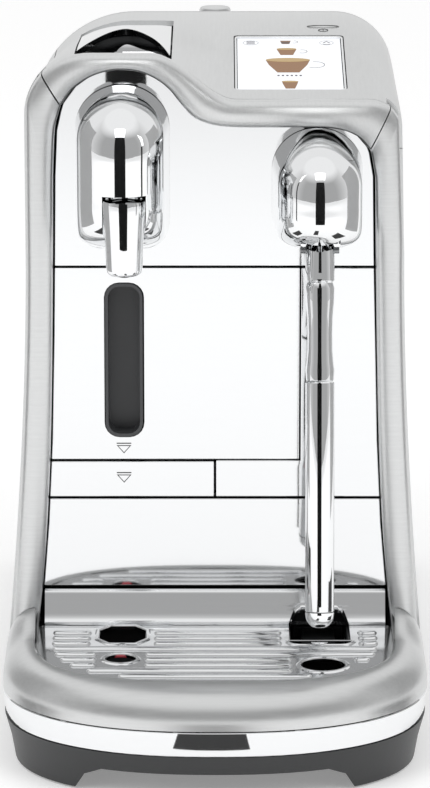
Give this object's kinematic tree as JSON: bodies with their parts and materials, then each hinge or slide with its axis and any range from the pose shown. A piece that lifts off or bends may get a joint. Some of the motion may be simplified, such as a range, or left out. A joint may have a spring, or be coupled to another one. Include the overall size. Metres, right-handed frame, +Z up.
{
  "type": "pod coffee machine",
  "caption": "Tall pod coffee machine with arched steel frame, capsule lever, touch display, coffee and steam heads, hinged steam wand, drip tray, pod bin and rear tank.",
  "frame": {"origin": "centre of the footprint, on the surface the feet stand on", "axes": "+X to the machine's right as seen from the front, +Y to the back, +Z up"},
  "size_m": [0.2, 0.42, 0.3281],
  "materials": {
    "brushed": "brushed satin",
    "mirror": "mirror polished",
    "chrome": "bright",
    "satin_metal": "turned",
    "dark_plastic": "satin",
    "black_plastic": "satin",
    "grip_black": "semi-gloss",
    "red_plastic": "satin",
    "rubber": "matt",
    "screen": "lit screen under glass",
    "board": "circuit board",
    "tank_clear": "smoked clear plastic"
  },
  "bodies": {
    "machine": {"frame_post_left": "brushed", "frame_post_right": "brushed", "head_fascia": "brushed", "body_shell": "brushed", "upper_front_panel": "mirror", "wand_panel": "mirror", "lower_front_panel": "mirror", "base_trim_band": "chrome", "coffee_head": "chrome", "coffee_spout": "chrome", "steam_head": "chrome", "display_bezel": "chrome", "lever_axle": "satin_metal", "wand_pivot": "satin_metal", "water_pump": "satin_metal", "brew_heater": "satin_metal", "steam_heater": "satin_metal", "base_chassis": "dark_plastic", "sensor_arm": "dark_plastic", "brew_cage": "dark_plastic", "rear_cover": "black_plastic", "front_bulkhead": "black_plastic", "lever_well": "black_plastic", "spout_nozzle": "black_plastic", "tank_seat": "black_plastic", "capsule_chute": "black_plastic", "foot_front_left": "rubber", "foot_front_right": "rubber", "foot_rear_left": "rubber", "foot_rear_right": "rubber", "cord_gland": "rubber", "touch_display": "screen", "display_board": "board", "main_board": "board"},
    "power_key": {"power_button": "brushed"},
    "lever": {"capsule_lever": "chrome"},
    "piston": {"brew_piston": "satin_metal"},
    "wand": {"wand_joint": "chrome", "wand_grip": "grip_black", "steam_wand": "chrome", "wand_tip": "chrome"},
    "pod_bin": {"capsule_bin_front": "mirror", "capsule_bin_grip": "grip_black", "capsule_bin_tub": "black_plastic"},
    "cup_shelf": {"cup_shelf_front": "mirror", "cup_shelf_tray": "dark_plastic"},
    "tray": {"base_ring": "brushed", "drip_tray": "black_plastic", "sensor_pocket": "black_plastic"},
    "grid": {"drip_grid": "mirror"},
    "float": {"drip_float": "red_plastic"},
    "jug_sensor": {"sensor_button": "chrome"},
    "tank": {"water_tank": "tank_clear"},
    "lid": {"tank_lid": "dark_plastic", "tank_knob": "satin_metal"},
    "valve": {"tank_valve": "black_plastic"}
  },
  "joints": [
    {"name": "lever_hinge", "type": "hinge", "parent": "machine", "child": "lever", "pos_m": [-0.0428, -0.008, 0.3134], "axis": [-1, 0, 0], "range_deg": [0, 88]},
    {"name": "piston_slide", "type": "slide", "parent": "machine", "child": "piston", "axis": [0, 1, 0], "range_m": [0, 0.0308]},
    {"name": "power_press", "type": "slide", "parent": "machine", "child": "power_key", "axis": [0, 0.1905, -0.9817], "range_m": [0, 0.0008], "stiffness_N_per_m": 400},
    {"name": "wand_swing", "type": "hinge", "parent": "machine", "child": "wand", "pos_m": [0.0484, -0.12752, 0.24085], "axis": [-1, 0, 0], "range_deg": [0, 40]},
    {"name": "pod_bin_slide", "type": "slide", "parent": "machine", "child": "pod_bin", "axis": [0, -1, 0], "range_m": [0, 0.12]},
    {"name": "cup_shelf_slide", "type": "slide", "parent": "machine", "child": "cup_shelf", "axis": [0, -1, 0], "range_m": [0, 0.07]},
    {"name": "tray_slide", "type": "slide", "parent": "machine", "child": "tray", "axis": [0, -1, 0], "range_m": [0, 0.11]},
    {"name": "grid_lift", "type": "slide", "parent": "tray", "child": "grid", "axis": [0, 0, 1], "range_m": [0, 0.006]},
    {"name": "float_rise", "type": "slide", "parent": "tray", "child": "float", "axis": [0, 0, 1], "range_m": [0, 0.006]},
    {"name": "jug_sensor_press", "type": "slide", "parent": "machine", "child": "jug_sensor", "axis": [0, 0, -1], "range_m": [0, 0.002], "stiffness_N_per_m": 300},
    {"name": "tank_lift", "type": "slide", "parent": "machine", "child": "tank", "axis": [0, 0, 1], "range_m": [0, 0.1]},
    {"name": "lid_hinge", "type": "hinge", "parent": "tank", "child": "lid", "pos_m": [0, 0.206, 0.2905], "axis": [-1, 0, 0], "range_deg": [0, 75]},
    {"name": "valve_rise", "type": "slide", "parent": "tank", "child": "valve", "axis": [0, 0, 1], "range_m": [0, 0.003], "stiffness_N_per_m": 200}
  ],
  "couplings": [
    {"joint": "piston_slide", "follows": "lever_hinge", "m_per_rad": 0.02}
  ]
}
